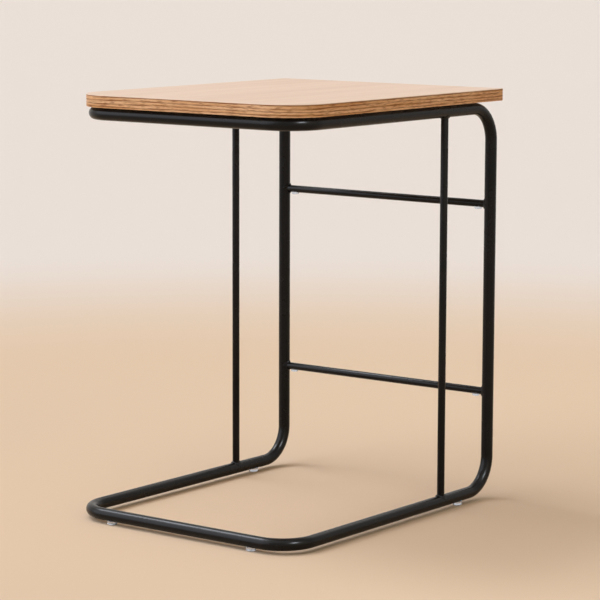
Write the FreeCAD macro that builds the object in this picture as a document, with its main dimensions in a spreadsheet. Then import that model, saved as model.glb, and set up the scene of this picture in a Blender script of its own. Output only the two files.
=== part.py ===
import FreeCAD, Part
import math
import os
import re
import Sketcher
from FreeCAD import Placement, Rotation, Vector

# C-shaped side table: an oak-look board on one closed loop of bent steel tube.
# +Z is up, the open side of the C faces -Y, and the origin is on the floor under the middle of the table.

doc = FreeCAD.newDocument("side_table")

# Driving dimensions in millimetres
sizes = {
    # Frame tube, measured between the axes of the bent loop
    "tube_diameter": 16.0,
    "tube_wall": 1.2,
    "frame_width": 350.0,
    "frame_depth": 445.0,
    "frame_height": 521.0,
    "top_setback": 12.0,
    "bend_radius": 45.0,
    # Sleeves inside the two butt joints of the loop
    "sleeve_length": 60.0,
    "sleeve_wall": 1.5,
    "sleeve_clearance": 0.1,
    # Rods at the sides and rungs across the back
    "rod_diameter": 10.0,
    "rod_wall": 1.0,
    "rod_setback": 112.0,
    "rung_low_height": 133.0,
    "rung_high_height": 390.0,
    "weld_leg": 2.6,
    "weld_gap": 0.1,
    # Table top
    "top_thickness": 16.0,
    "sheet_thickness": 0.6,
    "band_thickness": 1.0,
    "arris_radius": 0.8,
    "side_overhang": 3.0,
    "front_overhang": 3.0,
    "back_overhang": 5.0,
    "back_corner_radius": 4.0,
    # Clear feet under the base, set in from the ends of the bends
    "foot_height": 4.0,
    "foot_diameter": 13.4,
    "foot_edge_radius": 2.4,
    "foot_saddle": 2.0,
    "foot_stem_diameter": 5.0,
    "foot_stem_rise": 3.0,
    "foot_front_inset": 15.0,
    "foot_rear_inset": 27.0,
    # Clear plugs in the drain holes of the rungs
    "plug_height": 2.6,
    "plug_diameter": 10.4,
    "plug_edge_radius": 2.2,
    "plug_saddle": 1.2,
    "plug_stem_diameter": 3.6,
    "plug_stem_rise": 1.6,
    "plug_inset": 19.0,
    "stem_clearance": 0.15,
    "stem_chamfer": 0.6,
    # Tabs that hold the board off the top rails, set in from the ends of the bends
    "board_gap": 1.0,
    "tab_width": 18.0,
    "tab_thickness": 2.5,
    "tab_reach": 18.0,
    "tab_front_inset": 19.0,
    "tab_rear_inset": 34.0,
    # Bolts up through the tabs, and their inserts in the board
    "bolt_diameter": 5.0,
    "bolt_length": 12.0,
    "bolt_clearance": 0.3,
    "bolt_head_diameter": 9.6,
    "bolt_head_height": 3.2,
    "bolt_head_edge_radius": 1.6,
    "insert_diameter": 8.0,
    "insert_length": 11.0,
    "insert_clearance": 0.1,
    # Length by which every cutting tool passes the face it leaves
    "overrun": 2.0,
}

sheet = doc.addObject("Spreadsheet::Sheet", "sizes")
for row, (alias, size) in enumerate(sizes.items(), start=1):
    sheet.set(f"A{row}", alias)
    sheet.set(f"B{row}", str(size))
    sheet.setAlias(f"B{row}", alias)
doc.recompute()

# Heights and depths that several pieces share, as formulas of the driving dimensions
base_axis = "(foot_height + tube_diameter / 2)"
top_underside = "(foot_height + tube_diameter + frame_height + board_gap)"
half_top_width = "((frame_width + tube_diameter) / 2 + side_overhang)"
top_lead = "max(0; front_overhang - top_setback)"
half_depth = f"((frame_depth + tube_diameter + back_overhang + {top_lead}) / 2)"
base_front_axis = f"({top_lead} + tube_diameter / 2 - {half_depth})"
top_front_axis = f"({base_front_axis} + top_setback)"
back_axis = f"({base_front_axis} + frame_depth)"
top_front_edge = f"({top_front_axis} - tube_diameter / 2 - front_overhang)"
front_corner_radius = "(bend_radius + tube_diameter / 2 + min(side_overhang; front_overhang))"

side_signs = {"left": -1, "right": 1}
rung_heights = {"upper": "rung_high_height", "lower": "rung_low_height"}
parts = []


def in_sheet(formula):
    return re.sub(r"[a-z_]+", lambda word: "sizes." + word[0] if word[0] in sizes else word[0], formula)


def bind(target, prop, formula):
    target.setExpression(prop, in_sheet(formula))


def number(formula):
    return float(sheet.evalExpression(in_sheet(formula)))


def place(piece, x="0", y="0", z="0", rotation=Rotation()):
    piece.Placement = Placement(Vector(), rotation)
    for axis, formula in (("x", x), ("y", y), ("z", z)):
        bind(piece, "Placement.Base." + axis, f"({formula}) * 1mm")


def node(piece, label):
    piece.Label = label
    parts.append(piece)
    return piece


# Part primitives and booleans

right = Vector(1, 0, 0)
back = Vector(0, 1, 0)
up = Vector(0, 0, 1)
turn_to = {
    "x": Rotation(back, 90),
    "y": Rotation(right, -90),
    "z": Rotation(),
}


def cylinder(name, radius, length, direction, start):
    run = doc.addObject("Part::Cylinder", name)
    bind(run, "Radius", f"({radius}) * 1mm")
    bind(run, "Height", f"({length}) * 1mm")
    place(run, *start, rotation=turn_to[direction])
    return run


def quarter_bend(name, radius, center, first, last):
    bend = doc.addObject("Part::Torus", name)
    bind(bend, "Radius1", "bend_radius * 1mm")
    bind(bend, "Radius2", f"({radius}) * 1mm")
    bend.Angle3 = 90
    place(bend, *center, rotation=Rotation(first, last, first.cross(last), "XYZ"))
    return bend


def fuse(name, shapes):
    joined = doc.addObject("Part::MultiFuse", name)
    joined.Shapes = shapes
    joined.Refine = True
    return joined


def cut(name, base, tool):
    trimmed = doc.addObject("Part::Cut", name)
    trimmed.Base = base
    trimmed.Tool = tool
    return trimmed


def group(name, shapes):
    together = doc.addObject("Part::Compound", name)
    together.Links = shapes
    return together


# Sketches and bodies

def new_body(name):
    return doc.addObject("PartDesign::Body", name)


def sketch_on(body, role, name):
    sketch = body.newObject("Sketcher::SketchObject", name)
    plane = next(plane for plane in body.Origin.OriginFeatures if plane.Role == role)
    sketch.AttachmentSupport = [(plane, "")]
    sketch.MapMode = "FlatFace"
    return sketch


def measure(sketch, kind, geometry, formula):
    index = sketch.addConstraint(Sketcher.Constraint(kind, *geometry, number(formula)))
    bind(sketch, f"Constraints[{index}]", f"({formula}) * 1mm")


def circle(sketch, radius, x="0", y="0"):
    center = Vector(number(x), number(y))
    index = sketch.addGeometry(Part.Circle(center, up, number(radius)))
    measure(sketch, "Radius", (index,), radius)
    if x == "0" and y == "0":
        sketch.addConstraint(Sketcher.Constraint("Coincident", index, 3, -1, 1))
    elif x == "0":
        sketch.addConstraint(Sketcher.Constraint("PointOnObject", index, 3, -2))
        measure(sketch, "DistanceY", (-1, 1, index, 3), y)
    else:
        measure(sketch, "DistanceX", (-1, 1, index, 3), x)
        measure(sketch, "DistanceY", (-1, 1, index, 3), y)


def top_outline(sketch, inset):
    """Outline of the table top, drawn in by the inset, with wide front corners and tight back corners."""
    half_width = f"({half_top_width} - {inset})"
    to_rear = f"({half_depth} - {inset})"
    to_front = f"(-{top_front_edge} - {inset})"
    radii = [f"({front_corner_radius} - {inset})", f"(back_corner_radius - {inset})"]
    wide, behind, ahead = number(half_width), number(to_rear), number(to_front)
    fore, rear = number(radii[0]), number(radii[1])
    corners = [
        (Vector(wide - fore, fore - ahead), fore, -90),
        (Vector(wide - rear, behind - rear), rear, 0),
        (Vector(rear - wide, behind - rear), rear, 90),
        (Vector(fore - wide, fore - ahead), fore, 180),
    ]
    ends = []
    for center, radius, start in corners:
        full_circle = Part.Circle(center, up, radius)
        round_corner = Part.ArcOfCircle(full_circle, math.radians(start), math.radians(start + 90))
        ends.append((sketch.addGeometry(round_corner), round_corner.StartPoint, round_corner.EndPoint))
    sides = []
    for (arc, _, leave), (next_arc, enter, _) in zip(ends, ends[1:] + ends[:1]):
        side = sketch.addGeometry(Part.LineSegment(leave, enter))
        sketch.addConstraint(Sketcher.Constraint("Tangent", arc, 2, side, 1))
        sketch.addConstraint(Sketcher.Constraint("Tangent", side, 2, next_arc, 1))
        sides.append(side)
    right_side, rear_side, left_side, front_side = sides
    for side, kind in zip(sides, ("Vertical", "Horizontal", "Vertical", "Horizontal")):
        sketch.addConstraint(Sketcher.Constraint(kind, side))
    arcs = [arc for arc, _, _ in ends]
    sketch.addConstraint(Sketcher.Constraint("Equal", arcs[0], arcs[3]))
    sketch.addConstraint(Sketcher.Constraint("Equal", arcs[1], arcs[2]))
    measure(sketch, "Radius", (arcs[0],), radii[0])
    measure(sketch, "Radius", (arcs[1],), radii[1])
    measure(sketch, "DistanceX", (-1, 1, right_side, 1), half_width)
    measure(sketch, "DistanceX", (left_side, 1, -1, 1), half_width)
    measure(sketch, "DistanceY", (-1, 1, rear_side, 1), to_rear)
    measure(sketch, "DistanceY", (front_side, 1, -1, 1), to_front)


def pad(body, sketch, length, name):
    raised = body.newObject("PartDesign::Pad", name)
    raised.Profile = sketch
    bind(raised, "Length", f"({length}) * 1mm")
    sketch.Visibility = False
    return raised


def pocket_up(body, sketch, depth, name):
    hollow = body.newObject("PartDesign::Pocket", name)
    hollow.Profile = sketch
    hollow.Reversed = True
    bind(hollow, "Length", f"({depth}) * 1mm")
    return hollow


def round_head(body, diameter, height, edge_radius, name):
    """Disc that stands on the XY plane, with a rounded lower edge, turned about Z."""
    sketch = sketch_on(body, "XZ_Plane", name + "_profile")
    radius, tall, edge = number(f"{diameter} / 2"), number(height), number(edge_radius)
    foot = sketch.addGeometry(Part.LineSegment(Vector(0, 0), Vector(radius - edge, 0)))
    round_edge = Part.Circle(Vector(radius - edge, edge), up, edge)
    arc = sketch.addGeometry(Part.ArcOfCircle(round_edge, math.radians(-90), 0))
    wall = sketch.addGeometry(Part.LineSegment(Vector(radius, edge), Vector(radius, tall)))
    lid = sketch.addGeometry(Part.LineSegment(Vector(radius, tall), Vector(0, tall)))
    axis = sketch.addGeometry(Part.LineSegment(Vector(0, tall), Vector(0, 0)))
    sketch.addConstraint(Sketcher.Constraint("Coincident", foot, 1, -1, 1))
    sketch.addConstraint(Sketcher.Constraint("Tangent", foot, 2, arc, 1))
    sketch.addConstraint(Sketcher.Constraint("Tangent", arc, 2, wall, 1))
    for here, there in ((wall, lid), (lid, axis), (axis, foot)):
        sketch.addConstraint(Sketcher.Constraint("Coincident", here, 2, there, 1))
    for side, kind in ((foot, "Horizontal"), (wall, "Vertical"), (lid, "Horizontal"), (axis, "Vertical")):
        sketch.addConstraint(Sketcher.Constraint(kind, side))
    measure(sketch, "Radius", (arc,), edge_radius)
    measure(sketch, "DistanceX", (-1, 1, wall, 2), f"{diameter} / 2")
    measure(sketch, "DistanceY", (-1, 1, wall, 2), height)
    head = body.newObject("PartDesign::Revolution", name)
    head.Profile = sketch
    head.ReferenceAxis = (sketch, ["V_Axis"])
    head.Angle = 360
    return head


def chamfer_rim(body, feature, size):
    """Chamfer on the round rim at the top of a feature."""
    doc.recompute()
    top = feature.Shape.BoundBox.ZMax
    rims = []
    for index, edge in enumerate(feature.Shape.Edges, start=1):
        flat = math.isclose(edge.BoundBox.ZMin, top, abs_tol=1e-6)
        if flat and isinstance(edge.Curve, Part.Circle):
            rims.append(f"Edge{index}")
    bevel = body.newObject("PartDesign::Chamfer", "rim_bevel")
    bevel.Base = (feature, rims)
    bind(bevel, "Size", f"{size} * 1mm")
    return bevel


# Frame tube: five straight runs and four bends make the right half, and the left half is its mirror image.
# The frame's own zero is on the floor loop: X on the middle plane, Y and Z on the base's front rail.

half_width = "(frame_width / 2)"
tube_radius = "(tube_diameter / 2)"
tube_bore_radius = "(tube_diameter / 2 - tube_wall)"


def hollow_run(name, length, direction, start):
    outside = cylinder(name + "_outside", tube_radius, length, direction, start)
    return cut(name, outside, cylinder(name + "_bore", tube_bore_radius, length, direction, start))


def hollow_bend(name, center, first, last):
    outside = quarter_bend(name + "_outside", tube_radius, center, first, last)
    return cut(name, outside, quarter_bend(name + "_bore", tube_bore_radius, center, first, last))


def half_loop(name):
    side_start = f"{half_width} - bend_radius"
    rear_start = "frame_depth - bend_radius"
    upright_run = "frame_height - 2 * bend_radius"
    pieces = [hollow_run(name + "_upright", upright_run, "z", (half_width, "frame_depth", "bend_radius"))]
    for level, height, front in (("base", "0", "0"), ("top", "frame_height", "top_setback")):
        run = f"{name}_{level}"
        side_front = f"{front} + bend_radius"
        side_run = f"frame_depth - {front} - 2 * bend_radius"
        pieces.append(hollow_run(run + "_front", side_start, "x", ("0", front, height)))
        pieces.append(hollow_bend(run + "_corner", (side_start, side_front, height), -back, right))
        pieces.append(hollow_run(run + "_side", side_run, "y", (half_width, side_front, height)))
    base_bend = (half_width, rear_start, "bend_radius")
    top_bend = (half_width, rear_start, "frame_height - bend_radius")
    pieces.append(hollow_bend(name + "_base_bend", base_bend, back, -up))
    pieces.append(hollow_bend(name + "_top_bend", top_bend, up, back))
    return fuse(name, pieces)


def stations(kind, y_front, y_back):
    on_front = f"({half_width} - bend_radius - {kind}_front_inset)"
    on_side = f"{y_back} - bend_radius - {kind}_rear_inset"
    return [(on_front, y_front), (half_width, on_side)]


def frame_halves():
    holes = []
    for index, (x, y) in enumerate(stations("foot", "0", "frame_depth"), start=1):
        radius = "foot_stem_diameter / 2 + stem_clearance"
        start = (x, y, f"-{tube_radius} - overrun")
        holes.append(cylinder(f"foot_hole_{index}", radius, f"{tube_radius} + overrun", "z", start))
    right_half = node(cut("frame_tube_right", half_loop("half"), fuse("frame_holes", holes)), "frame_tube_right")
    place(right_half, y=base_front_axis, z=base_axis)
    left_half = node(doc.addObject("Part::Mirroring", "frame_tube_left"), "frame_tube_left")
    left_half.Source = right_half
    left_half.Normal = right


def joint_sleeves():
    outside = f"{tube_bore_radius} - sleeve_clearance"
    inside = f"{outside} - sleeve_wall"
    rails = {
        "lower": (base_front_axis, base_axis),
        "upper": (top_front_axis, f"{base_axis} + frame_height"),
    }
    for level, (rail_y, rail_z) in rails.items():
        name = "joint_sleeve_" + level
        start = ("-sleeve_length / 2", "0", "0")
        passing = ("-sleeve_length / 2 - overrun", "0", "0")
        outer = cylinder(name + "_outside", outside, "sleeve_length", "x", start)
        bore = cylinder(name + "_bore", inside, "sleeve_length + 2 * overrun", "x", passing)
        sleeve = node(cut(name, outer, bore), name)
        place(sleeve, y=rail_y, z=rail_z)


# Rods and rungs: thin tubes whose ends are coped to the round of the frame tube

rod_radius = "(rod_diameter / 2)"
rod_bore_radius = "(rod_diameter / 2 - rod_wall)"
cope_radius = "tube_diameter / 2 + weld_gap"


def coped_tube(name, direction, across, span, drain_holes=()):
    zero = ("0", "0", "0")
    outer = cylinder(name + "_outside", rod_radius, span, direction, zero)
    bore = cylinder(name + "_bore", rod_bore_radius, span, direction, zero)
    copes = []
    for end, distance in (("first", "0"), ("last", span)):
        start = {"x": "0", "y": "0", "z": "0"}
        start[direction] = distance
        start[across] = "-rod_diameter"
        cope = f"{name}_{end}_cope"
        copes.append(cylinder(cope, cope_radius, "2 * rod_diameter", across, tuple(start.values())))
    coped = cut(name + "_coped", cut(name + "_tube", outer, bore), fuse(name + "_copes", copes))
    if not drain_holes:
        return coped
    drills = []
    for index, distance in enumerate(drain_holes, start=1):
        radius = "plug_stem_diameter / 2 + stem_clearance"
        start = (distance, "0", f"-{rod_radius} - overrun")
        drills.append(cylinder(f"{name}_drain_{index}", radius, f"{rod_radius} + overrun", "z", start))
    return cut(name + "_drained", coped, fuse(name + "_drains", drills))


def side_rods():
    for side, sign in side_signs.items():
        name = "side_rod_" + side
        rod = node(coped_tube(name, "z", "y", "frame_height"), name)
        place(rod, f"{sign} * {half_width}", f"{back_axis} - rod_setback", base_axis)


def rungs():
    for level, height in rung_heights.items():
        name = "rung_" + level
        drains = ("plug_inset", "frame_width - plug_inset")
        rung = node(coped_tube(name, "x", "z", "frame_width", drains), name)
        place(rung, f"-{half_width}", back_axis, f"{base_axis} + {height}")


# Welds: the bevelled ring between a thin tube, standing along Z, and the frame tube, lying along Y

def weld_ring_shape():
    wide = number("tube_diameter / 2 + weld_gap")
    thin = number("rod_diameter / 2 + weld_gap")
    leg = number("weld_leg")
    reach = number("tube_diameter + rod_diameter")
    tube = Part.makeCylinder(wide, 2 * reach, -reach * back, back)
    rod = Part.makeCylinder(thin, reach)
    joint = tube.fuse(rod)
    seam = []
    for edge in joint.Edges:
        middle = edge.valueAt((edge.FirstParameter + edge.LastParameter) / 2)
        on_rod = math.isclose(math.hypot(middle.x, middle.y), thin, rel_tol=1e-4)
        on_tube = math.isclose(math.hypot(middle.x, middle.z), wide, rel_tol=1e-4)
        if on_rod and on_tube:
            seam.append(edge)
    return joint.makeChamfer(leg, seam).cut(tube).cut(rod)


def weld_group(label, places):
    ring = weld_ring_shape()
    rings = []
    for index, (x, y, z, rotation) in enumerate(places, start=1):
        bead = doc.addObject("Part::Feature", f"{label}_{index}")
        bead.Shape = ring
        place(bead, x, y, z, rotation)
        rings.append(bead)
    node(group(label, rings), label)


def weld_beads():
    upward = Rotation()
    downward = Rotation(back, 180)
    inward = {"left": Rotation(back, up, right, "ZYX"), "right": Rotation(-back, up, -right, "ZYX")}
    at_rods = []
    at_rungs = []
    for side, sign in side_signs.items():
        x = f"{sign} * {half_width}"
        rod_line = f"{back_axis} - rod_setback"
        at_rods.append((x, rod_line, base_axis, upward))
        at_rods.append((x, rod_line, f"{base_axis} + frame_height", downward))
        for height in rung_heights.values():
            at_rungs.append((x, back_axis, f"{base_axis} + {height}", inward[side]))
    weld_group("weld_beads_rods", at_rods)
    weld_group("weld_beads_rungs", at_rungs)


# Fixing tabs: round-ended plates, coped over the top rails and reaching inwards, each with a hole for its bolt

def tab_places():
    (front_x, front_y), (side_x, side_y) = stations("tab", top_front_axis, back_axis)
    for sign in side_signs.values():
        yield f"{sign} * {front_x}", front_y, Rotation()
        yield f"{sign} * {side_x}", side_y, Rotation(up, 90 * sign)


def bolt_places():
    (front_x, front_y), (side_x, side_y) = stations("tab", top_front_axis, back_axis)
    for sign in side_signs.values():
        yield f"{sign} * {front_x}", f"{front_y} + tab_reach"
        yield f"{sign} * ({side_x} - tab_reach)", side_y


def fixing_tabs():
    tabs = []
    for index, (x, y, rotation) in enumerate(tab_places(), start=1):
        name = f"tab_{index}"
        plate = doc.addObject("Part::Box", name + "_plate")
        bind(plate, "Length", "tab_width * 1mm")
        bind(plate, "Width", "tab_reach * 1mm")
        bind(plate, "Height", "tab_thickness * 1mm")
        place(plate, "-tab_width / 2")
        tip = cylinder(name + "_tip", "tab_width / 2", "tab_thickness", "z", ("0", "tab_reach", "0"))
        hole_radius = "bolt_diameter / 2 + bolt_clearance"
        hole_start = ("0", "tab_reach", "-overrun")
        hole = cylinder(name + "_hole", hole_radius, "tab_thickness + 2 * overrun", "z", hole_start)
        rail_start = ("-tab_width / 2 - overrun", "0", f"tab_thickness - board_gap - {tube_radius}")
        rail = cylinder(name + "_cope", cope_radius, "tab_width + 2 * overrun", "x", rail_start)
        tab = cut(name, fuse(name + "_blank", [plate, tip]), fuse(name + "_cuts", [hole, rail]))
        place(tab, x, y, f"{top_underside} - tab_thickness", rotation)
        tabs.append(tab)
    node(group("fixing_tabs", tabs), "fixing_tabs")


# Table top: a core between two sheets, with a band round the edge

def insert_holes(sketch):
    for x, y in bolt_places():
        circle(sketch, "insert_diameter / 2 + insert_clearance", x, y)


def table_top():
    core = node(new_body("top_core"), "top_core")
    outline = sketch_on(core, "XY_Plane", "core_outline")
    top_outline(outline, "band_thickness")
    pad(core, outline, "top_thickness - 2 * sheet_thickness", "core_slab")
    holes = sketch_on(core, "XY_Plane", "core_holes")
    insert_holes(holes)
    pocket_up(core, holes, "insert_length - sheet_thickness + insert_clearance", "core_bores")
    place(core, z=f"{top_underside} + sheet_thickness")

    under = node(new_body("underside_sheet"), "underside_sheet")
    outline = sketch_on(under, "XY_Plane", "underside_outline")
    top_outline(outline, "band_thickness")
    insert_holes(outline)
    pad(under, outline, "sheet_thickness", "underside_slab")
    place(under, z=top_underside)

    face = node(new_body("top_face_sheet"), "top_face_sheet")
    outline = sketch_on(face, "XY_Plane", "face_outline")
    top_outline(outline, "band_thickness")
    pad(face, outline, "sheet_thickness", "face_slab")
    place(face, z=f"{top_underside} + top_thickness - sheet_thickness")

    band = node(new_body("edge_band"), "edge_band")
    outline = sketch_on(band, "XY_Plane", "band_outline")
    top_outline(outline, "0")
    top_outline(outline, "band_thickness")
    strip = pad(band, outline, "top_thickness", "band_strip")
    place(band, z=top_underside)
    doc.recompute()
    edges = strip.Shape.Edges
    rims = []
    for flat in strip.Shape.Faces:
        if isinstance(flat.Surface, Part.Plane) and abs(flat.Surface.Axis.z) > abs(flat.Surface.Axis.x):
            for rim in flat.OuterWire.Edges:
                rims += [f"Edge{index}" for index, edge in enumerate(edges, start=1) if edge.isSame(rim)]
    arris = band.newObject("PartDesign::Fillet", "band_arris")
    arris.Base = (strip, rims)
    bind(arris, "Radius", "arris_radius * 1mm")


def bolts_and_inserts():
    bolts = []
    inserts = []
    for index, (x, y) in enumerate(bolt_places(), start=1):
        bolt = new_body(f"bolt_{index}")
        head = ("bolt_head_diameter", "bolt_head_height", "bolt_head_edge_radius")
        round_head(bolt, *head, f"bolt_head_{index}")
        shank = sketch_on(bolt, "XY_Plane", f"bolt_shank_{index}")
        circle(shank, "bolt_diameter / 2")
        rod = pad(bolt, shank, "bolt_head_height + bolt_length", f"bolt_rod_{index}")
        chamfer_rim(bolt, rod, "stem_chamfer")
        place(bolt, x, y, f"{top_underside} - tab_thickness - bolt_head_height")
        bolts.append(bolt)

        insert = new_body(f"insert_{index}")
        ring = sketch_on(insert, "XY_Plane", f"insert_ring_{index}")
        circle(ring, "insert_diameter / 2")
        circle(ring, "bolt_diameter / 2 + insert_clearance")
        pad(insert, ring, "insert_length", f"insert_sleeve_{index}")
        place(insert, x, y, top_underside)
        inserts.append(insert)
    node(group("fixing_bolts", bolts), "fixing_bolts")
    node(group("threaded_inserts", inserts), "threaded_inserts")


# Feet and plugs: a round head with a saddle for the tube it sits under, and a stem through the tube's wall

def saddle_pad(name, kind, carrier, x, y, z, rotation):
    body = node(new_body(name), name)
    height = f"{kind}_height"
    round_head(body, f"{kind}_diameter", f"{height} + {kind}_saddle", f"{kind}_edge_radius", name + "_head")
    round_cut = sketch_on(body, "XZ_Plane", name + "_saddle")
    circle(round_cut, f"{carrier}_diameter / 2", "0", f"{height} + {carrier}_diameter / 2")
    saddle = body.newObject("PartDesign::Pocket", name + "_hollow")
    saddle.Profile = round_cut
    saddle.Midplane = True
    bind(saddle, "Length", f"({kind}_diameter + 2 * overrun) * 1mm")
    stem = sketch_on(body, "XY_Plane", name + "_stem")
    circle(stem, f"{kind}_stem_diameter / 2")
    rod = pad(body, stem, f"{height} + {carrier}_wall + {kind}_stem_rise", name + "_pin")
    chamfer_rim(body, rod, "stem_chamfer")
    place(body, x, y, z, rotation)


def feet_and_plugs():
    along_y = Rotation()
    along_x = Rotation(up, 90)
    under_base = stations("foot", base_front_axis, back_axis)
    for (end, rotation), (x, y) in zip((("front", along_x), ("rear", along_y)), under_base):
        for side, sign in side_signs.items():
            saddle_pad(f"foot_{end}_{side}", "foot", "tube", f"{sign} * {x}", y, "0", rotation)
    for level, height in rung_heights.items():
        for side, sign in side_signs.items():
            x = f"{sign} * ({half_width} - plug_inset)"
            z = f"{base_axis} + {height} - {rod_radius} - plug_height"
            saddle_pad(f"rung_plug_{level}_{side}", "plug", "rod", x, back_axis, z, along_x)


frame_halves()
joint_sleeves()
side_rods()
rungs()
weld_beads()
fixing_tabs()
table_top()
bolts_and_inserts()
feet_and_plugs()
doc.recompute()

for piece in doc.Objects:
    if "Invalid" in piece.State or "Error" in piece.State:
        raise RuntimeError(f"{piece.Name} failed: {piece.State}")
for piece in parts:
    if piece.Shape.isNull() or not piece.Shape.isValid() or not piece.Shape.Solids:
        raise RuntimeError(f"{piece.Label} has no valid solid")

os.makedirs("parts", exist_ok=True)
for piece in parts:
    piece.Shape.exportStep(f"parts/{piece.Label}.step")
    box = piece.Shape.optimalBoundingBox(False, False)
    print(f"{piece.Label}: {len(piece.Shape.Solids)} solids, {piece.Shape.Volume:.0f} mm3")
    for axis in "XYZ":
        print(f"  {axis} from {getattr(box, axis + 'Min'):.2f} to {getattr(box, axis + 'Max'):.2f}")
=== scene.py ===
import math
import random
import bmesh
import bpy
from mathutils import Matrix, Vector


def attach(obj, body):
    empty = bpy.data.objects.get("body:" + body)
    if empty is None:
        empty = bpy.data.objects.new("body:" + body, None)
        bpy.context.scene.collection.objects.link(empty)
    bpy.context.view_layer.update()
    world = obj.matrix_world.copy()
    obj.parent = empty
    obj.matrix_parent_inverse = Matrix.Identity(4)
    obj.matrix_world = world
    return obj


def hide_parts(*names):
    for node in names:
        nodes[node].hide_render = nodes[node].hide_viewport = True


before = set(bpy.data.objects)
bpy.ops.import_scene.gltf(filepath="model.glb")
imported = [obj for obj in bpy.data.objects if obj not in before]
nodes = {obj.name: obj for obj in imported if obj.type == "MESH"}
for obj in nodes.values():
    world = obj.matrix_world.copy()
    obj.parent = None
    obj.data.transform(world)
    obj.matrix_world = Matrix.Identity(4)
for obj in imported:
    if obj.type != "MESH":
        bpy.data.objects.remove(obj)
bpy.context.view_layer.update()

scene = bpy.context.scene
scene.view_settings.view_transform = "Standard"
print("frame loaded:", len(nodes), "nodes")


# mesh helpers, lengths in metres

meshRules = {
    "mergeGap": 0.000001,  # points closer than this become one
    "touch": 0.00001,  # points this near a place lie on it
    "levelNormal": 0.9,  # a face lies level when its normal is this upright
    "capSides": 8,  # a face with more sides than this is an end cap
}


def deselectAll():
    bpy.ops.object.select_all(action="DESELECT")


def startPiece(name, addShape, **settings):
    deselectAll()
    addShape(**settings)
    piece = bpy.context.active_object
    piece.name = name
    piece.data.name = name
    bpy.ops.object.transform_apply(location=True, rotation=True, scale=True)
    return piece


def editMode():
    bpy.ops.object.mode_set(mode="EDIT")


def objectMode():
    bpy.ops.object.mode_set(mode="OBJECT")


def pickAll(kind):
    bpy.ops.mesh.select_mode(type=kind)
    bpy.ops.mesh.select_all(action="SELECT")


def pick(piece, kind, test):  # selects the vertices, edges or faces that pass the test
    bpy.ops.mesh.select_mode(type=kind)
    bpy.ops.mesh.select_all(action="DESELECT")
    mesh = bmesh.from_edit_mesh(piece.data)
    for part in {"VERT": mesh.verts, "EDGE": mesh.edges, "FACE": mesh.faces}[kind]:
        if test(part):
            part.select_set(True)
    mesh.select_flush_mode()
    bmesh.update_edit_mesh(piece.data)


def isCap(face):
    return len(face.verts) > meshRules["capSides"]


def isLevel(face):
    return abs(face.normal.z) > meshRules["levelNormal"]


def atHeight(part, height):  # true for an edge or face that lies in this level
    return all(abs(vert.co.z - height) < meshRules["touch"] for vert in part.verts)


def extrude(x, y, z):
    bpy.ops.mesh.extrude_region_move(TRANSFORM_OT_translate={"value": (x, y, z)})


def closeUp(gap=meshRules["mergeGap"]):  # merges doubles and turns all faces outwards
    bpy.ops.mesh.select_all(action="SELECT")
    bpy.ops.mesh.remove_doubles(threshold=gap)
    bpy.ops.mesh.normals_make_consistent(inside=False)


def applyModifier(piece, kind, **settings):
    bpy.context.view_layer.objects.active = piece
    modifier = piece.modifiers.new(kind.lower(), kind)
    for key, value in settings.items():
        setattr(modifier, key, value)
    bpy.ops.object.modifier_apply(modifier=modifier.name)


def smooth(piece, degrees):
    deselectAll()
    piece.select_set(True)
    bpy.context.view_layer.objects.active = piece
    bpy.ops.object.shade_smooth_by_angle(angle=math.radians(degrees))


def copyPiece(piece, name, matrix):
    twin = piece.copy()
    twin.data = piece.data.copy()
    twin.name = name
    twin.data.name = name
    twin.data.transform(matrix)
    scene.collection.objects.link(twin)
    return twin


def joinPieces(name, pieces):
    deselectAll()
    for piece in pieces:
        piece.select_set(True)
    bpy.context.view_layer.objects.active = pieces[0]
    bpy.ops.object.join()
    pieces[0].name = name
    pieces[0].data.name = name
    return pieces[0]


def fit(piece, slot, finish, *replaced):  # hangs a finished piece on the frame
    piece.data.materials.clear()
    piece.data.materials.append(finish)
    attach(piece, "root")
    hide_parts(*replaced)


# node helpers

mixSockets = {"factor": 0, "below": 6, "above": 7, "result": 2}  # of a Mix node that mixes colours


def newFinish(name):
    finish = bpy.data.materials.new(name)
    finish.use_nodes = True
    tree = finish.node_tree
    return finish, tree, tree.nodes["Principled BSDF"]


def setInputs(tree, node, inputs):  # links sockets and sets plain values
    for key, value in inputs.items():
        if isinstance(value, bpy.types.NodeSocket):
            tree.links.new(value, node.inputs[key])
        else:
            node.inputs[key].default_value = value


def addNode(tree, kind, inputs=None, **settings):
    node = tree.nodes.new(kind)
    for key, value in settings.items():
        setattr(node, key, value)
    setInputs(tree, node, inputs or {})
    return node


def ramp(tree, factor, places, colours):  # from one colour to the other between two places
    node = addNode(tree, "ShaderNodeValToRGB", {"Fac": factor})
    for mark, place, colour in zip(node.color_ramp.elements, places, colours):
        mark.position = place
        mark.color = (*colour, 1.0)
    return node.outputs["Color"]


def asColour(value):
    return value if isinstance(value, bpy.types.NodeSocket) else (*value, 1.0)


def blendColour(tree, kind, factor, below, above):
    inputs = {
        mixSockets["factor"]: factor,
        mixSockets["below"]: asColour(below),
        mixSockets["above"]: asColour(above),
    }
    node = addNode(tree, "ShaderNodeMix", inputs, data_type="RGBA", blend_type=kind)
    return node.outputs[mixSockets["result"]]


def stretched(tree, vector, stretch, shift=(0, 0, 0)):
    inputs = {"Vector": vector, "Scale": stretch, "Location": shift}
    return addNode(tree, "ShaderNodeMapping", inputs).outputs["Vector"]


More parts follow.
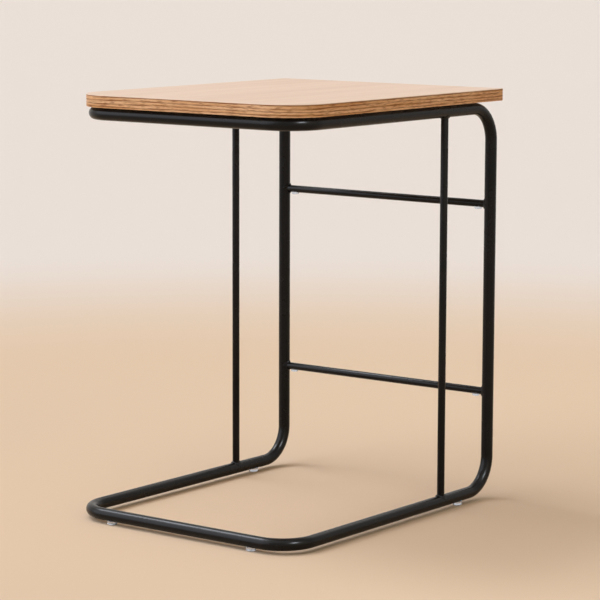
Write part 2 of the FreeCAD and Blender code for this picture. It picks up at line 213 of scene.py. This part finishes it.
def noise(tree, vector, marks):  # marks holds the settings that differ from a plain noise
    look = {"scale": 1, "roughness": 0.5, "distortion": 0.0, "shift": (0, 0, 0), **marks}
    if "stretch" in look:
        vector = stretched(tree, vector, look["stretch"], look["shift"])
    inputs = {
        "Vector": vector,
        "Scale": look["scale"],
        "Detail": look["detail"],
        "Roughness": look["roughness"],
        "Distortion": look["distortion"],
    }
    return addNode(tree, "ShaderNodeTexNoise", inputs).outputs["Fac"]


def mapRange(tree, value, source, target):
    inputs = {
        "Value": value,
        "From Min": source[0],
        "From Max": source[1],
        "To Min": target[0],
        "To Max": target[1],
    }
    return addNode(tree, "ShaderNodeMapRange", inputs, clamp=True).outputs["Result"]


def objectSpace(tree):
    return tree.nodes.new("ShaderNodeTexCoord").outputs["Object"]


def bump(tree, height, relief):
    inputs = {"Height": height, "Strength": relief["strength"], "Distance": relief["distance"]}
    return addNode(tree, "ShaderNodeBump", inputs).outputs["Normal"]


# oak print on the face and the underside, grain from front to back, with painted sheen in its pale tone

oakFace = {
    # pale and honey are the print's tone plus painted sheen: paler than the edge band's oak, standing in for
    # the grazing reflection that the low gloss leaves out
    "pale": (0.875, 0.685, 0.55),
    "honey": (0.815, 0.62, 0.487),
    "rings": {"stretch": (1, 0.05, 1), "scale": 30, "detail": 4, "roughness": 0.55, "distortion": 0.5},
    "ringRange": (0.36, 0.62),
    "fibre": {"stretch": (1, 0.012, 1), "scale": 620, "detail": 3, "roughness": 0.6},
    "fibreRange": (0.3, 0.7),
    "fibreTints": ((0.95, 0.94, 0.925), (1.03, 1.03, 1.03)),
    "pore": (0.49, 0.32, 0.20),
    "pores": {"stretch": (1, 0.03, 1), "scale": 1100, "detail": 2},
    "poreRange": (0.62, 0.72),
    "poreCover": (0.0, 0.3),
    "poreSlope": (0.58, 0.70),
    "poreRelief": {"strength": 0.12, "distance": 0.0003},
    "roughness": (0.50, 0.58),
    "gloss": 0.05,
}


def makeOakFace():
    oak = oakFace
    finish, tree, shader = newFinish("oakFaceFinish")
    place = objectSpace(tree)
    rings = noise(tree, place, oak["rings"])
    fibre = noise(tree, place, oak["fibre"])
    pores = noise(tree, place, oak["pores"])
    # the ring tones carry the painted sheen of the top
    tone = ramp(tree, rings, oak["ringRange"], (oak["pale"], oak["honey"]))
    fibreTone = ramp(tree, fibre, oak["fibreRange"], oak["fibreTints"])
    wood = blendColour(tree, "MULTIPLY", 1.0, tone, fibreTone)
    poreMask = mapRange(tree, pores, oak["poreRange"], oak["poreCover"])
    wood = blendColour(tree, "MIX", poreMask, wood, oak["pore"])
    poreDepth = mapRange(tree, pores, oak["poreSlope"], (1.0, 0.0))
    setInputs(tree, shader, {
        "Base Color": wood,
        "Roughness": mapRange(tree, fibre, oak["fibreRange"], oak["roughness"]),
        "Normal": bump(tree, poreDepth, oak["poreRelief"]),
        "Specular IOR Level": oak["gloss"],
    })
    return finish


# oak print on the edge band, with a painted highlight along its top arris, grain along the band, heights
# from the foot of the board

oakEdge = {
    "pale": (0.835, 0.550, 0.325),
    "honey": (0.640, 0.336, 0.142),
    "rings": {"stretch": (6, 240, 1), "detail": 4, "roughness": 0.55, "distortion": 0.2},
    "ringRange": (0.38, 0.64),
    "streak": (0.225, 0.078, 0.020),
    "rowStretch": (6, 76, 1),
    "rowWave": {
        "Scale": 1.0, "Distortion": 4.2, "Detail": 3.0, "Detail Scale": 1.0, "Detail Roughness": 0.55},
    "rowRange": (0.50, 0.88),
    "dashes": {"stretch": (40, 330, 1), "detail": 2},
    "dashRange": (0.38, 0.58),
    "dashCover": (0.30, 0.85),
    "flecks": {"stretch": (75, 720, 1), "shift": (3, 5, 0), "detail": 2, "roughness": 0.55},
    "fleckRange": (0.50, 0.66),
    "fleckCover": (0.0, 0.65),
    "pores": {"stretch": (130, 2200, 1), "detail": 2},
    "poreRange": (0.35, 0.65),
    "poreTints": ((0.88, 0.85, 0.82), (1.08, 1.08, 1.08)),
    "lineHeight": (0.0134, 0.0149),  # darker just under the arris
    "lineCover": (0.0, 0.55),
    "arris": (0.88, 0.72, 0.58),  # painted highlight along the rounded top arris
    "arrisHighlightHeight": (0.0149, 0.0154),
    "arrisHighlightCover": (0.0, 0.9),
    "grooveRange": (0.0, 0.85),
    "grooveRelief": {"strength": 0.15, "distance": 0.0003},
    "sheenRange": (0.3, 0.7),
    "roughness": (0.34, 0.46),
    "gloss": 0.08,
}


def makeOakEdge():
    oak = oakEdge
    finish, tree, shader = newFinish("oakEdgeFinish")
    way = addNode(tree, "ShaderNodeUVMap", uv_map="grainWay").outputs["UV"]
    height = addNode(tree, "ShaderNodeSeparateXYZ", {"Vector": way}).outputs["Y"]
    rings = noise(tree, way, oak["rings"])
    dashes = noise(tree, way, oak["dashes"])
    flecks = noise(tree, way, oak["flecks"])
    pores = noise(tree, way, oak["pores"])
    rowInputs = {"Vector": stretched(tree, way, oak["rowStretch"]), **oak["rowWave"]}
    rows = addNode(tree, "ShaderNodeTexWave", rowInputs, bands_direction="Y").outputs["Fac"]
    rowMask = mapRange(tree, rows, oak["rowRange"], (0.0, 1.0))
    dashMask = mapRange(tree, dashes, oak["dashRange"], oak["dashCover"])
    streaks = addNode(tree, "ShaderNodeMath", {0: rowMask, 1: dashMask}, operation="MULTIPLY")
    streaks = streaks.outputs["Value"]
    fleckMask = mapRange(tree, flecks, oak["fleckRange"], oak["fleckCover"])
    lineMask = mapRange(tree, height, oak["lineHeight"], oak["lineCover"])
    arrisHighlightMask = mapRange(tree, height, oak["arrisHighlightHeight"], oak["arrisHighlightCover"])
    wood = ramp(tree, rings, oak["ringRange"], (oak["pale"], oak["honey"]))
    wood = blendColour(tree, "MIX", streaks, wood, oak["streak"])
    wood = blendColour(tree, "MIX", fleckMask, wood, oak["streak"])
    wood = blendColour(tree, "MULTIPLY", 1.0, wood, ramp(tree, pores, oak["poreRange"], oak["poreTints"]))
    wood = blendColour(tree, "MIX", lineMask, wood, oak["streak"])
    # painted highlight: a pale line along the rounded top arris
    wood = blendColour(tree, "MIX", arrisHighlightMask, wood, oak["arris"])
    grooves = mapRange(tree, streaks, oak["grooveRange"], (1.0, 0.0))
    setInputs(tree, shader, {
        "Base Color": wood,
        "Roughness": mapRange(tree, pores, oak["sheenRange"], oak["roughness"]),
        "Normal": bump(tree, grooves, oak["grooveRelief"]),
        "Specular IOR Level": oak["gloss"],
    })
    return finish


# satin powder coat, with the fine orange peel of baked powder

powderCoat = {
    "black": (0.0030, 0.0030, 0.0033),
    "worn": (0.0060, 0.0058, 0.0056),
    "clouds": {"scale": 24, "detail": 3, "roughness": 0.6},
    "cloudRange": (0.35, 0.7),
    "peel": {"scale": 900, "detail": 3, "roughness": 0.55},
    "peelRelief": {"strength": 0.2, "distance": 0.00006},
    "sheenRange": (0.3, 0.7),
    "roughness": (0.23, 0.29),
    "gloss": 0.17,
}


def makePowderCoat():
    coat = powderCoat
    finish, tree, shader = newFinish("powderCoatFinish")
    place = objectSpace(tree)
    clouds = noise(tree, place, coat["clouds"])
    peel = noise(tree, place, coat["peel"])
    setInputs(tree, shader, {
        "Base Color": ramp(tree, clouds, coat["cloudRange"], (coat["black"], coat["worn"])),
        "Roughness": mapRange(tree, clouds, coat["sheenRange"], coat["roughness"]),
        "Normal": bump(tree, peel, coat["peelRelief"]),
        "Specular IOR Level": coat["gloss"],
    })
    return finish


# clear moulded plastic of the feet and plugs, with painted shade at the bottom of each foot

clearPlastic = {
    "clear": (0.84, 0.90, 1.0),
    "milky": (0.73, 0.81, 0.93),
    "flow": {"scale": 320, "detail": 2, "distortion": 0.8},
    "flowRange": (0.3, 0.7),
    "rim": (0.015, 0.018, 0.025),  # painted shade, the contact shadow where a foot stands on the floor
    "rimHeight": (0.0003, 0.0011),
    "rimCover": (1.0, 0.0),
    "roughness": (0.04, 0.10),
    "transmission": 0.86,
    "refraction": 1.49,
}


def makeClearPlastic():
    plastic = clearPlastic
    finish, tree, shader = newFinish("clearPlasticFinish")
    place = objectSpace(tree)
    flow = noise(tree, place, plastic["flow"])
    tone = ramp(tree, flow, plastic["flowRange"], (plastic["clear"], plastic["milky"]))
    height = addNode(tree, "ShaderNodeSeparateXYZ", {"Vector": place}).outputs["Z"]
    rimMask = mapRange(tree, height, plastic["rimHeight"], plastic["rimCover"])
    setInputs(tree, shader, {
        # painted shade: darkens the lowest millimetre of the feet, where they stand on the floor
        "Base Color": blendColour(tree, "MIX", rimMask, tone, plastic["rim"]),
        "Roughness": mapRange(tree, flow, plastic["flowRange"], plastic["roughness"]),
        "Transmission Weight": plastic["transmission"],
        "IOR": plastic["refraction"],
    })
    return finish


# metal of the bolts, sleeves and inserts

steelTones = {
    "blackZinc": {"dark": (0.035, 0.035, 0.038), "light": (0.075, 0.075, 0.08), "roughness": (0.28, 0.42)},
    "plainSteel": {"dark": (0.42, 0.42, 0.43), "light": (0.60, 0.60, 0.61), "roughness": (0.30, 0.48)},
}
steelMarks = {
    "drawn": {"stretch": (1, 1, 12), "scale": 180, "detail": 4, "roughness": 0.6},
    "range": (0.3, 0.7),
    "relief": {"strength": 0.1, "distance": 0.0001},
}


def makeSteel(name):
    tones = steelTones[name]
    finish, tree, shader = newFinish(name + "Finish")
    marks = noise(tree, objectSpace(tree), steelMarks["drawn"])
    setInputs(tree, shader, {
        "Base Color": ramp(tree, marks, steelMarks["range"], (tones["dark"], tones["light"])),
        "Roughness": mapRange(tree, marks, steelMarks["range"], tones["roughness"]),
        "Normal": bump(tree, marks, steelMarks["relief"]),
        "Metallic": 1.0,
    })
    return finish


# raw particleboard inside the top

particleboard = {
    "chip": (0.62, 0.46, 0.28),
    "dust": (0.44, 0.30, 0.17),
    "chipScale": 420.0,
    "chipRange": (0.2, 0.8),
    "chipRelief": {"strength": 0.3, "distance": 0.0004},
    "roughness": 0.85,
}


def makeParticleboard():
    board = particleboard
    finish, tree, shader = newFinish("particleboardFinish")
    chipInputs = {"Vector": objectSpace(tree), "Scale": board["chipScale"]}
    chips = addNode(tree, "ShaderNodeTexVoronoi", chipInputs).outputs["Color"]
    grey = addNode(tree, "ShaderNodeRGBToBW", {"Color": chips}).outputs["Val"]
    setInputs(tree, shader, {
        "Base Color": ramp(tree, grey, board["chipRange"], (board["dust"], board["chip"])),
        "Roughness": board["roughness"],
        "Normal": bump(tree, grey, board["chipRelief"]),
    })
    return finish


oakFaceFinish = makeOakFace()
oakEdgeFinish = makeOakEdge()
powderCoatFinish = makePowderCoat()
clearPlasticFinish = makeClearPlastic()
blackZincFinish = makeSteel("blackZinc")
plainSteelFinish = makeSteel("plainSteel")
particleboardFinish = makeParticleboard()
print("finishes made")


# frame loop: a ring of points is pushed and spun round the right half, then mirrored

frameLoop = {
    "tubeRadius": 0.008,
    "halfWidth": 0.175,
    "baseFront": -0.225,
    "topFront": -0.213,
    "upright": 0.220,
    "baseAxis": 0.012,
    "topAxis": 0.533,
    "bendRadius": 0.045,
    "ringPoints": 48,
    "bendSteps": 24,
    "mergeGap": 0.00001,
    "smoothAngle": 60,
}


def spinBend(center, axis, turn):  # spin counts its angle clockwise
    bpy.ops.mesh.spin(steps=frameLoop["bendSteps"], angle=-turn, center=center, axis=axis)


def makeFrameLoop():
    loop = frameLoop
    bend = loop["bendRadius"]
    wide = loop["halfWidth"]
    low, high = loop["baseAxis"], loop["topAxis"]
    rear = loop["upright"]
    quarter = math.pi / 2
    piece = startPiece(
        "frameLoop", bpy.ops.mesh.primitive_circle_add,
        vertices=loop["ringPoints"], radius=loop["tubeRadius"],
        location=(0, loop["baseFront"], low), rotation=(0, quarter, 0))
    editMode()
    pickAll("EDGE")
    extrude(wide - bend, 0, 0)
    spinBend((wide - bend, loop["baseFront"] + bend, low), (0, 0, 1), quarter)
    extrude(0, rear - loop["baseFront"] - 2 * bend, 0)
    spinBend((wide, rear - bend, low + bend), (1, 0, 0), quarter)
    extrude(0, 0, high - low - 2 * bend)
    spinBend((wide, rear - bend, high - bend), (1, 0, 0), quarter)
    extrude(0, loop["topFront"] - rear + 2 * bend, 0)
    spinBend((wide - bend, loop["topFront"] + bend, high), (0, 0, 1), -quarter)
    extrude(bend - wide, 0, 0)
    objectMode()
    applyModifier(piece, "MIRROR", use_clip=True, merge_threshold=loop["mergeGap"])
    editMode()
    closeUp(loop["mergeGap"])
    objectMode()
    smooth(piece, loop["smoothAngle"])
    return piece


loopPiece = makeFrameLoop()
fit(loopPiece, "black_powder_coat", powderCoatFinish, "frame_tube_left", "frame_tube_right")
print("frame loop:", len(loopPiece.data.polygons), "faces", [round(n, 4) for n in loopPiece.dimensions])


# side rods and rungs: thin tube, its ends inside the frame tube

thinTube = {
    "radius": 0.005,
    "points": 32,
    "endDepth": 0.004,
    "endRound": 0.0012,
    "endSteps": 3,
    "smoothAngle": 40,
    "rodBack": 0.108,
    "rungLower": 0.145,
    "rungUpper": 0.402,
}


def makeThinTube(name, start, way, length):
    turn = Vector((0, 0, 1)).rotation_difference(Vector(way)).to_euler()
    piece = startPiece(
        name, bpy.ops.mesh.primitive_circle_add, vertices=thinTube["points"], radius=thinTube["radius"],
        fill_type="NGON", location=start, rotation=turn)
    editMode()
    pickAll("FACE")
    extrude(*(Vector(way) * length))
    closeUp()
    pick(piece, "FACE", isCap)
    bpy.ops.mesh.bevel(offset=thinTube["endRound"], segments=thinTube["endSteps"], affect="EDGES")
    objectMode()
    smooth(piece, thinTube["smoothAngle"])
    return piece


wide = frameLoop["halfWidth"]
rodLow, rodHigh = frameLoop["baseAxis"], frameLoop["topAxis"]
rungBack = frameLoop["upright"]
inside = frameLoop["tubeRadius"] - thinTube["endDepth"]  # from the frame tube's axis to a rod's end
rodFoot = (-wide, thinTube["rodBack"], rodLow + inside)
rodLeft = makeThinTube("sideRodLeft", rodFoot, (0, 0, 1), rodHigh - rodLow - 2 * inside)
rodRight = copyPiece(rodLeft, "sideRodRight", Matrix.Translation((2 * wide, 0, 0)))
rungEnd = (inside - wide, rungBack, thinTube["rungLower"])
rungLower = makeThinTube("rungLower", rungEnd, (1, 0, 0), 2 * (wide - inside))
rungRise = thinTube["rungUpper"] - thinTube["rungLower"]
rungUpper = copyPiece(rungLower, "rungUpper", Matrix.Translation((0, 0, rungRise)))
for piece, node in (
        (rodLeft, "side_rod_left"), (rodRight, "side_rod_right"),
        (rungLower, "rung_lower"), (rungUpper, "rung_upper")):
    fit(piece, "black_powder_coat", powderCoatFinish, node)
print("rods and rungs done")


# weld beads: a torus pressed into the corner between a thin tube and the frame tube

weldBead = {
    "leg": 0.0025,
    "middle": 0.00625,
    "sink": 0.0004,
    "around": 96,
    "across": 16,
    "ripples": 15,
    "rippleHeight": 0.00014,
    "slowRipples": 7,
    "slowRippleShare": 0.6,
    "swells": 3,
    "swellShare": 0.10,
    "hollowShare": 0.55,
    "crestTurn": 0.8,
    "smoothAngle": 70,
}


def shapeBead(piece, seed):  # thin tube stands along Z, frame tube lies along Y
    bead = weldBead
    tube = frameLoop["tubeRadius"]
    rod = thinTube["radius"]
    lumps = random.Random(seed)
    phases = [lumps.uniform(0, 2 * math.pi) for _ in range(3)]
    for vert in piece.data.vertices:
        x, y, z = vert.co
        around = math.atan2(y, x)
        across = math.atan2(z, math.hypot(x, y) - bead["middle"])
        ripple = math.sin(around * bead["ripples"] + phases[0])
        ripple += bead["slowRippleShare"] * math.sin(around * bead["slowRipples"] + phases[1])
        leg = bead["leg"] * (1 + bead["swellShare"] * math.sin(around * bead["swells"] + phases[2]))
        out = 0.5 + 0.5 * math.cos(across)  # 0 at the thin tube, 1 at the bead's outer edge
        rise = 0.5 + 0.5 * math.sin(across)  # 0 at the frame tube, 1 at the bead's top
        reach = rod - bead["sink"] + out * (leg + bead["sink"])
        ground = math.sqrt(max(tube ** 2 - (reach * math.cos(around)) ** 2, 0))
        lift = rise * (leg + bead["sink"]) * (1 - bead["hollowShare"] * out) - bead["sink"]
        crest = ripple * bead["rippleHeight"] * max(math.sin(across + bead["crestTurn"]), 0)
        radius = reach + crest
        vert.co = (radius * math.cos(around), radius * math.sin(around), ground + lift + crest)


def makeBeads(name, places, node):
    bead = weldBead
    ring = startPiece(
        name + "Ring", bpy.ops.mesh.primitive_torus_add,
        major_segments=bead["around"], minor_segments=bead["across"],
        major_radius=bead["middle"], minor_radius=bead["leg"] / 2)
    beads = []
    for index, matrix in enumerate(places):
        twin = copyPiece(ring, f"{name}{index}", Matrix.Identity(4))
        shapeBead(twin, index)
        twin.data.transform(matrix)
        beads.append(twin)
    bpy.data.objects.remove(ring)
    piece = joinPieces(name, beads)
    editMode()
    closeUp()
    objectMode()
    smooth(piece, bead["smoothAngle"])
    fit(piece, "black_powder_coat", powderCoatFinish, node)
    return piece


def standing(x, y, z, turn):
    return Matrix.Translation((x, y, z)) @ turn


upright = Matrix.Identity(4)
hanging = Matrix.Rotation(math.pi, 4, "Y")
# for a rung the bead's own Z points inwards along X, and its Y stays along the upright
inwards = {
    -1: Matrix(((0, 0, 1, 0), (1, 0, 0, 0), (0, 1, 0, 0), (0, 0, 0, 1))),
    1: Matrix(((0, 0, -1, 0), (-1, 0, 0, 0), (0, 1, 0, 0), (0, 0, 0, 1))),
}
rodSpots = []
rungSpots = []
for side in (-1, 1):
    rodSpots.append(standing(side * wide, thinTube["rodBack"], rodLow, upright))
    rodSpots.append(standing(side * wide, thinTube["rodBack"], rodHigh, hanging))
    for level in ("rungLower", "rungUpper"):
        rungSpots.append(standing(side * wide, rungBack, thinTube[level], inwards[side]))
rodBeads = makeBeads("rodWeldBeads", rodSpots, "weld_beads_rods")
rungBeads = makeBeads("rungWeldBeads", rungSpots, "weld_beads_rungs")
print("weld beads:", len(rodBeads.data.polygons) + len(rungBeads.data.polygons), "faces")


# edge band: the board's outline, hollowed to a strip, with its grain mapped along the strip

edgeBand = {
    "halfWidth": 0.186,
    "front": -0.224,
    "back": 0.233,
    "low": 0.542,
    "high": 0.558,
    "frontRadius": 0.056,
    "frontSteps": 40,
    "backRadius": 0.004,
    "backSteps": 10,
    "thickness": 0.001,
    "arris": 0.0008,
    "arrisSteps": 5,
    "lip": 0.0003,  # hangs this far below the board, so less light shows over the rail
    "smoothAngle": 40,
}


def alongBand(x, y):  # distance along the band from the middle of the front, for x to the right
    band = edgeBand
    straight = band["halfWidth"] - band["frontRadius"]
    cornerY = band["front"] + band["frontRadius"]
    sideStart = straight + band["frontRadius"] * math.pi / 2
    rearX = band["halfWidth"] - band["backRadius"]
    rearY = band["back"] - band["backRadius"]
    rearStart = sideStart + rearY - cornerY
    if y < cornerY and x > straight:
        return straight + band["frontRadius"] * math.atan2(x - straight, cornerY - y)
    if y < cornerY:
        return x
    if y > rearY and x > rearX:
        return rearStart + band["backRadius"] * math.atan2(y - rearY, x - rearX)
    if x > rearX - band["thickness"] and y <= rearY:
        return sideStart + y - cornerY
    return rearStart + band["backRadius"] * math.pi / 2 + rearX - x


def mapGrain(piece):  # grain runs both ways from the middle of the front and meets at the back
    grain = piece.data.uv_layers.new(name="grainWay")
    for face in piece.data.polygons:
        side = 1 if face.center.x > 0 else -1
        for loop in face.loop_indices:
            x, y, z = piece.data.vertices[piece.data.loops[loop].vertex_index].co
            grain.data[loop].uv = (side * alongBand(abs(x), y), z - edgeBand["low"])


def makeEdgeBand():
    band = edgeBand
    middle = (band["front"] + band["back"]) / 2
    low = band["low"] - band["lip"]
    piece = startPiece("edgeBand", bpy.ops.mesh.primitive_plane_add, size=1, location=(0, middle, low))
    editMode()
    bpy.ops.mesh.select_all(action="SELECT")
    size = (2 * band["halfWidth"], band["back"] - band["front"], 1)
    bpy.ops.transform.resize(value=size, center_override=(0, middle, low))
    pick(piece, "VERT", lambda vert: vert.co.y < 0)
    bpy.ops.mesh.bevel(offset=band["frontRadius"], segments=band["frontSteps"], affect="VERTICES")
    pick(piece, "VERT", lambda vert: vert.co.y > band["back"] - meshRules["touch"])
    bpy.ops.mesh.bevel(offset=band["backRadius"], segments=band["backSteps"], affect="VERTICES")
    pickAll("FACE")
    extrude(0, 0, band["high"] - low)
    closeUp()
    pick(piece, "FACE", isLevel)
    bpy.ops.mesh.region_to_loop()
    bpy.ops.mesh.bevel(offset=band["arris"], segments=band["arrisSteps"], affect="EDGES")
    pick(piece, "FACE", lambda face: isLevel(face) and isCap(face))
    bpy.ops.mesh.inset(thickness=band["thickness"] - band["arris"])
    bpy.ops.mesh.delete(type="FACE")
    pick(piece, "EDGE", lambda edge: edge.is_boundary)
    bpy.ops.mesh.bridge_edge_loops()
    bpy.ops.mesh.select_all(action="SELECT")
    bpy.ops.mesh.bisect(plane_co=(0, 0, 0), plane_no=(1, 0, 0))
    closeUp()
    objectMode()
    smooth(piece, band["smoothAngle"])
    mapGrain(piece)
    return piece


bandPiece = makeEdgeBand()
fit(bandPiece, "oak_edge", oakEdgeFinish, "edge_band")
print("edge band:", len(bandPiece.data.polygons), "faces", [round(n, 4) for n in bandPiece.dimensions])


# fixing bolts: a button head with a hex socket, and a plain shank

fixingBolt = {
    "headRadius": 0.0048,
    "headLow": 0.5363,
    "headHeight": 0.0032,
    "headRound": 0.0016,
    "headSteps": 6,
    "socketFlat": 0.0016,
    "socketDepth": 0.0019,
    "shankRadius": 0.0025,
    "shankLength": 0.0120,
    "shankBevel": 0.0006,
    "points": 48,
    "smoothAngle": 30,
    "spots": [(-0.111, -0.195), (0.111, -0.195), (-0.157, 0.141), (0.157, 0.141)],
}


def makeBolt():
    bolt = fixingBolt
    low = bolt["headLow"]
    tip = low + bolt["headHeight"] + bolt["shankLength"]
    halfFlat = math.pi / 6  # half the turn that one flat of the hex takes
    corner = bolt["socketFlat"] / math.cos(halfFlat)
    piece = startPiece(
        "fixingBolt", bpy.ops.mesh.primitive_circle_add,
        vertices=bolt["points"], radius=bolt["headRadius"], fill_type="NGON", location=(0, 0, low))
    editMode()
    pickAll("FACE")
    extrude(0, 0, bolt["headHeight"])
    bpy.ops.mesh.inset(thickness=bolt["headRadius"] - bolt["shankRadius"])
    extrude(0, 0, bolt["shankLength"])
    closeUp()
    pick(piece, "EDGE", lambda edge: atHeight(edge, tip))
    bpy.ops.mesh.bevel(offset=bolt["shankBevel"], segments=1, affect="EDGES")
    pick(piece, "EDGE", lambda edge: atHeight(edge, low))
    bpy.ops.mesh.bevel(offset=bolt["headRound"], segments=bolt["headSteps"], affect="EDGES")
    pick(piece, "FACE", lambda face: isCap(face) and atHeight(face, low))
    bpy.ops.mesh.inset(thickness=bolt["headRadius"] - bolt["headRound"] - corner)
    objectMode()
    for vert in piece.data.vertices:  # the round inset is squared up to six flats
        x, y, z = vert.co
        if z < low + meshRules["touch"] and math.hypot(x, y) < corner + meshRules["touch"]:
            angle = math.atan2(y, x)
            reach = bolt["socketFlat"] / math.cos((angle + halfFlat) % (2 * halfFlat) - halfFlat)
            vert.co = (reach * math.cos(angle), reach * math.sin(angle), z)
    editMode()
    pick(piece, "FACE", lambda face: isCap(face) and atHeight(face, low))
    extrude(0, 0, bolt["socketDepth"])
    closeUp()
    objectMode()
    smooth(piece, bolt["smoothAngle"])
    return piece


def makeBolts():
    bolt = makeBolt()
    bolts = []
    for index, (x, y) in enumerate(fixingBolt["spots"]):
        bolts.append(copyPiece(bolt, f"fixingBolt{index}", Matrix.Translation((x, y, 0))))
    bpy.data.objects.remove(bolt)
    return joinPieces("fixingBolts", bolts)


boltPiece = makeBolts()
fit(boltPiece, "black_zinc", blackZincFinish, "fixing_bolts")
print("fixing bolts:", len(boltPiece.data.polygons), "faces")


# CAD pieces that stay, with their finishes

carried = {
    "top_core": particleboardFinish,
    "top_face_sheet": oakFaceFinish,
    "underside_sheet": oakFaceFinish,
    "joint_sleeve_lower": plainSteelFinish,
    "joint_sleeve_upper": plainSteelFinish,
    "threaded_inserts": plainSteelFinish,
    "fixing_tabs": powderCoatFinish,
}
for name in nodes:
    if name.startswith(("foot_", "rung_plug_")):
        carried[name] = clearPlasticFinish
for name, finish in carried.items():
    for slot in nodes[name].material_slots:
        slot.material = finish
print("carried pieces finished:", len(carried))


# floor and sky

stage = {
    "floorSize": 60,
    "floorNear": (0.815, 0.625, 0.450),
    "floorFar": (0.87, 0.795, 0.735),  # paler away from the table
    "fadeFrom": 1.2,
    "fadeTo": 2.8,
    "floorRoughness": 0.9,
    "floorGloss": 0.05,
    "skyColour": (0.87, 0.82, 0.77),
    "skyLight": (1.0, 0.87, 0.68),
    "skyStrength": 0.21,
}


def makeFloor():
    floor = startPiece("floor", bpy.ops.mesh.primitive_plane_add, size=stage["floorSize"])
    finish, tree, shader = newFinish("floorFinish")
    reach = addNode(tree, "ShaderNodeVectorMath", {0: objectSpace(tree)}, operation="LENGTH")
    fadeInputs = {
        "Value": reach.outputs["Value"], "From Min": stage["fadeFrom"], "From Max": stage["fadeTo"]}
    fade = addNode(tree, "ShaderNodeMapRange", fadeInputs, interpolation_type="SMOOTHSTEP")
    tones = (stage["floorNear"], stage["floorFar"])
    setInputs(tree, shader, {
        "Base Color": ramp(tree, fade.outputs["Result"], (0.0, 1.0), tones),
        "Roughness": stage["floorRoughness"],
        "Specular IOR Level": stage["floorGloss"],
    })
    floor.data.materials.append(finish)


def makeSky():  # pale to the eye and in reflections, softer as a light
    world = bpy.data.worlds.new("studio")
    scene.world = world
    world.use_nodes = True
    tree = world.node_tree
    light = tree.nodes["Background"]
    lightInputs = {"Color": (*stage["skyLight"], 1.0), "Strength": stage["skyStrength"]}
    setInputs(tree, light, lightInputs)
    pale = addNode(tree, "ShaderNodeBackground", {"Color": (*stage["skyColour"], 1.0), "Strength": 1.0})
    ray = tree.nodes.new("ShaderNodeLightPath").outputs
    seen = ray["Is Camera Ray"]
    for kind in ("Is Glossy Ray", "Is Transmission Ray"):
        seen = addNode(tree, "ShaderNodeMath", {0: seen, 1: ray[kind]}, operation="MAXIMUM").outputs["Value"]
    mix = addNode(tree, "ShaderNodeMixShader", {0: seen, 1: light.outputs[0], 2: pale.outputs[0]})
    tree.links.new(mix.outputs[0], tree.nodes["World Output"].inputs["Surface"])


# lamps: suns light the floor and the table, glints show in glossy reflections only

suns = {
    "overhead": {"from": (-0.15, -0.30, 1.0), "angle": 70, "strength": 0.94, "colour": (1.0, 0.99, 0.98)},
    "left": {"from": (-0.54, -0.06, 0.84), "angle": 22, "strength": 0.80, "colour": (0.93, 0.98, 1.07)},
    "front": {"from": (-0.60, -0.74, 0.48), "angle": 62, "strength": 1.28, "colour": (0.94, 1.0, 1.17)},
    "right": {"from": (0.90, -0.15, 0.35), "angle": 60, "strength": 0.36, "colour": (1.0, 0.77, 0.40)},
    "back": {"from": (-0.10, 0.79, 0.60), "angle": 26, "strength": 0.15, "colour": (1.0, 1.0, 1.0)},
}
glints = {
    "above": {"from": (-0.56, -0.03, 0.83), "angle": 24, "strength": 1.05, "colour": (0.93, 0.98, 1.07)},
    "rail": {"from": (-0.60, -0.62, 0.50), "angle": 40, "strength": 0.15, "colour": (1.0, 0.97, 0.98)},
    "corner": {"from": (0.76, -0.19, 0.62), "angle": 14, "strength": 2.2, "colour": (0.92, 0.98, 1.07)},
}
sunDistance = 3  # only where the lamp is drawn


def makeSun(name, sun):
    data = bpy.data.lights.new(name, "SUN")
    data.angle = math.radians(sun["angle"])
    data.energy = sun["strength"]
    data.color = sun["colour"]
    light = bpy.data.objects.new(name, data)
    light.location = Vector(sun["from"]) * sunDistance
    light.rotation_euler = (-light.location).to_track_quat("-Z", "Y").to_euler()
    scene.collection.objects.link(light)
    return light


def makeLamps():
    for name, sun in suns.items():
        makeSun(name, sun)
    for name, glint in glints.items():
        makeSun(name + "Glint", glint).visible_diffuse = False


# camera, roll in degrees

viewer = {
    "eye": (2.0304, -2.6508, 0.7633),
    "aim": (0.0200, 0, 0.2822),
    "lens": 152.19,
    "sensor": 36,
    "roll": 0.17,
}


def makeCamera():
    data = bpy.data.cameras.new("viewer")
    data.lens = viewer["lens"]
    data.sensor_width = viewer["sensor"]
    camera = bpy.data.objects.new("viewer", data)
    camera.location = viewer["eye"]
    look = (Vector(viewer["aim"]) - camera.location).to_track_quat("-Z", "Y").to_matrix()
    camera.rotation_euler = (look @ Matrix.Rotation(math.radians(viewer["roll"]), 3, "Z")).to_euler()
    scene.collection.objects.link(camera)
    scene.camera = camera


makeFloor()
makeSky()
makeLamps()
makeCamera()
print("stage set")
